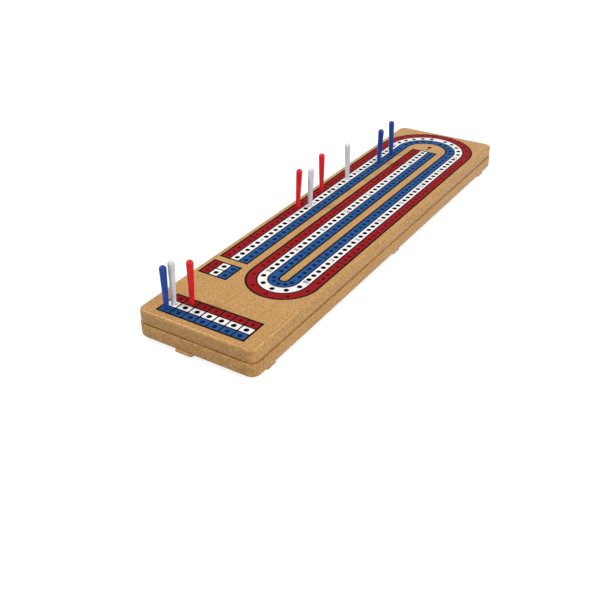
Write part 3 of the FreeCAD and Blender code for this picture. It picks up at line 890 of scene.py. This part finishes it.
def feet():
    pads = []
    end = (FAR_END - NEAR_END) / 2 - FOOT_END_INSET
    for side in (-1, 1):
        x = side * (BASE_HIGH.x - FOOT_INSET - FOOT_WIDTH / 2)
        for offset in (-end, 0, end):
            y = MIDDLE_Y + offset
            pad = block(
                "foot",
                (x - FOOT_WIDTH / 2, y - FOOT_LENGTH / 2, 0),
                (x + FOOT_WIDTH / 2, y + FOOT_LENGTH / 2, FOOT_HEIGHT + FLOOR_WALL / 2),
            )
            round_off(pad, upright, FOOT_CORNER, segments=4)
            round_off(pad, level_at(0), FOOT_EDGE, segments=3)
            pads.append(pad)
    return pads


def drawer():
    """The drawer, one moulding: its front with the finger tab, its floor, walls and dividers."""
    face = lower_half("drawer", FOOT_HEIGHT, DRAWER_HIGH.z)
    back = NEAR_END + FRONT_DEPTH - FRONT_GAP
    wide = BASE_HIGH.x + FAR_PAST
    cut(face, block("behind", (-wide, back, 0), (wide, FAR_END + FAR_PAST, TOP)))
    round_off(face, level_at(DRAWER_HIGH.z), FRONT_EDGE, segments=3)
    fuse(face, finger_tab())
    inside = TRAY_HIGH.x - DRAWER_WALL
    walls, wells = tray(back, inside)
    fuse(face, walls)
    for part in (*guides(inside, wells), *lugs()):
        fuse(face, part)
    smooth(face)
    nodes = ("drawer_front", "drawer_tray", "drawer_bottom")
    finish_piece(face, TAN, "drawer", "tan_plastic", *nodes)


def finger_tab():
    tab = block(
        "tab",
        (TAB_MIDDLE - TAB_WIDTH / 2, NEAR_END - TAB_REACH, FOOT_HEIGHT),
        (TAB_MIDDLE + TAB_WIDTH / 2, NEAR_END + BOTTOM_EDGE, FOOT_HEIGHT + TAB_HEIGHT),
    )
    tip = NEAR_END - TAB_REACH
    round_off(tab, lambda a, b: upright(a, b) and near(a.y, tip), TAB_CORNER, segments=6)
    round_off(tab, lambda a, b: near(a.z, b.z) and max(a.y, b.y) < NEAR_END, TAB_EDGE, segments=3)
    return tab


def tray(back, inside):
    """The walls and floor behind the front, and where the card wells start and end."""
    low_corner = (TRAY_LOW.x, back - DEEP_OVERLAP, FLOOR_LOW.z)
    piece = block("tray", low_corner, (TRAY_HIGH.x, TRAY_HIGH.y, DRAWER_HIGH.z))
    far = TRAY_HIGH.y - DRAWER_WALL
    wells = []
    for _ in range(WELLS):
        wells.append((far - WELL_LENGTH, far))
        far -= WELL_LENGTH + DRAWER_WALL
    for low, high in (*wells, (back, far)):
        well = block("well", (-inside, low, TRAY_LOW.z), (inside, high, TOP))
        round_off(well, upright, WELL_CORNER, segments=5)
        cut(piece, well)
    cut(piece, scoop(far - PAST, wells[0][0] + PAST))
    at_rim = level_at(DRAWER_HIGH.z)
    round_off(piece, lambda a, b: at_rim(a, b) and min(a.y, b.y) > back, FRONT_EDGE, segments=2)
    return piece, wells


def scoop(start, end):
    """A long round cutter that takes a finger's dip out of every divider."""
    bpy.ops.object.select_all(action="DESELECT")
    bpy.ops.mesh.primitive_cylinder_add(
        vertices=SCOOP_SIDES,
        radius=SCOOP_RADIUS,
        depth=end - start,
        location=(0, (start + end) / 2, DRAWER_HIGH.z - SCOOP_DEPTH + SCOOP_RADIUS),
        rotation=(math.pi / 2, 0, 0),
    )
    return settle(named("scoop"))


def guides(inside, wells):
    """Low ribs at the sides of the wells that keep the cards to the middle."""
    ribs = []
    bottom, top = TRAY_LOW.z - OVERLAP, TRAY_LOW.z + GUIDE_HEIGHT
    half = DRAWER_WALL / 2
    middles = [low + share * (high - low) for low, high in wells for share in GUIDE_SHARES]
    for y in middles:
        for side in (-1, 1):
            left, right = sorted((side * CARD_WIDTH / 2, side * (inside + OVERLAP)))
            rib = block("guide", (left, y - half, bottom), (right, y + half, top))
            round_off(rib, level_at(top), GUIDE_EDGE, segments=3)
            ribs.append(rib)
    return ribs


def lugs():
    """Two stops on the drawer's walls that meet the board's near wall when the drawer is out."""
    stops = []
    y = BOARD_LOW.y + SIDE_WALL + DRAWER_TRAVEL + DRAWER_GAP
    bottom = DRAWER_HIGH.z - DEEP_OVERLAP
    outer = TRAY_HIGH.x - (DRAWER_WALL - LUG_WIDTH) / 2
    for left, right in ((-outer, LUG_WIDTH - outer), (outer - LUG_WIDTH, outer)):
        stop = block("lug", (left, y, bottom), (right, y + LUG_LENGTH, TRAY_HIGH.z))
        round_off(stop, level_at(TRAY_HIGH.z), LUG_EDGE, segments=2)
        stops.append(stop)
    return stops


# The pegs.


def peg(name, x, y, lean):
    """A peg drawn up from its tip through its neck to the head, which is rounded to a dome."""
    bpy.ops.object.select_all(action="DESELECT")
    bpy.ops.mesh.primitive_circle_add(
        vertices=PEG_SIDES, radius=PEG_TIP, fill_type="NGON", location=(0, 0, -PEG_DEPTH)
    )
    piece = settle(named(name))
    edit(piece, "FACE")
    bpy.ops.mesh.select_all(action="SELECT")
    draw_up(PEG_DEPTH, 0, PEG_NECK / PEG_TIP)
    draw_up(PEG_HEIGHT, PEG_HEIGHT, PEG_HEAD / PEG_NECK)
    bpy.ops.mesh.select_all(action="SELECT")
    bpy.ops.mesh.normals_make_consistent(inside=False)
    done()
    round_off(piece, level_at(PEG_HEIGHT), PEG_DOME, segments=8)
    round_off(piece, level_at(-PEG_DEPTH), PEG_TIP_EDGE, segments=2)
    axis = Vector((-math.sin(LEAN_HEADING), math.cos(LEAN_HEADING), 0))
    turn = Matrix.Rotation(math.radians(lean), 4, axis)
    piece.matrix_world = Matrix.Translation((x, y, TOP)) @ turn
    settle(piece)
    smooth(piece, 50)
    return piece


def draw_up(rise, height, widening):
    """Extrude the picked end face upwards and widen it about the peg's axis."""
    bpy.ops.mesh.extrude_region_move(TRANSFORM_OT_translate={"value": (0, 0, rise)})
    bpy.ops.transform.resize(value=(widening, widening, 1), center_override=(0, 0, height))


def pegs():
    """Each peg with the place of its hole and its lean in degrees."""
    left = -TRACK_SPACING
    games = -GAMES_COLUMN_PITCH * (GAMES_COLUMNS // 2)
    places = {
        "peg_red_1": (games + GAMES_COLUMN_PITCH, GAMES_ROW + GAMES_ROW_PITCH, 1.4),
        "peg_red_2": (left - LANE_SPACING, along_straight(13), 3.0),
        "peg_red_3": (left - LANE_SPACING, along_straight(18), 0.4),
        "peg_white_1": (games, GAMES_ROW, 1.9),
        "peg_white_2": (left, along_straight(14), 2.0),
        "peg_white_3": (left, along_straight(22), -0.6),
        "peg_blue_1": (games, GAMES_ROW - GAMES_ROW_PITCH, 0.6),
        "peg_blue_2": (left + LANE_SPACING, along_straight(28), 1.8),
        "peg_blue_3": (left + LANE_SPACING, along_straight(31), -1.6),
    }
    for node, place in places.items():
        colour = node.split("_")[1]
        piece = peg(node.replace("peg_", "round_peg_"), *place)
        finish_piece(piece, PEG_PLASTICS[colour], node, f"{colour}_plastic", node)


# The studio.


def seen_level(nodes, links, unseen, seen):
    """One level for the light that falls on things, another where the white ground is looked at."""
    path = nodes.new("ShaderNodeLightPath")
    total = path.outputs["Is Camera Ray"]
    for ray in ("Is Glossy Ray", "Is Transmission Ray"):
        either = nodes.new("ShaderNodeMath")
        either.operation = "MAXIMUM"
        links.new(total, either.inputs[0])
        links.new(path.outputs[ray], either.inputs[1])
        total = either.outputs[0]
    level = nodes.new("ShaderNodeMapRange")
    level.inputs["To Min"].default_value = unseen
    level.inputs["To Max"].default_value = seen
    links.new(total, level.inputs["Value"])
    return level.outputs["Result"]


def floor():
    bpy.ops.object.select_all(action="DESELECT")
    bpy.ops.mesh.primitive_plane_add(size=FLOOR_SIZE, location=(0, 0, 0))
    sheet = named("studio_floor")
    material = bpy.data.materials.new("studio_floor")
    material.use_nodes = True
    nodes, links = material.node_tree.nodes, material.node_tree.links
    shader = nodes["Principled BSDF"]
    shader.inputs["Base Color"].default_value = FLOOR_GREY
    shader.inputs["Roughness"].default_value = 0.9
    shader.inputs["Specular IOR Level"].default_value = 0.1
    shader.inputs["Emission Color"].default_value = WHITE
    links.new(seen_level(nodes, links, 0.0, FLOOR_GLOW), shader.inputs["Emission Strength"])
    sheet.data.materials.append(material)


def lamp(name, place, size, power):
    """A square lamp that faces the middle of the box."""
    bpy.ops.object.select_all(action="DESELECT")
    bpy.ops.object.light_add(type="AREA", location=place)
    light = bpy.context.object
    light.name = name
    light.data.size = size
    light.data.energy = power
    light.rotation_euler = (-Vector(place)).to_track_quat("-Z", "Y").to_euler()


def studio():
    floor()
    world = bpy.data.worlds.new("studio")
    bpy.context.scene.world = world
    world.use_nodes = True
    nodes, links = world.node_tree.nodes, world.node_tree.links
    background = nodes["Background"]
    background.inputs["Color"].default_value = WHITE
    links.new(seen_level(nodes, links, ROOM_LIGHT, 1.0), background.inputs["Strength"])
    for name, settings in LAMPS.items():
        lamp(name, *settings)


def camera():
    bpy.ops.object.camera_add(
        location=CAMERA_PLACE,
        rotation=[math.radians(angle) for angle in CAMERA_TURN],
    )
    view = bpy.context.object
    view.data.lens = CAMERA_LENS
    view.data.sensor_width = CAMERA_SENSOR
    bpy.context.scene.camera = view
    bpy.context.scene.view_settings.view_transform = "Standard"


playing_board()
for lane_colour in LANES:
    lane_print(lane_colour)
    hole_linings(lane_colour)
line_print()
group_figures()
base()
drawer()
pegs()
studio()
camera()
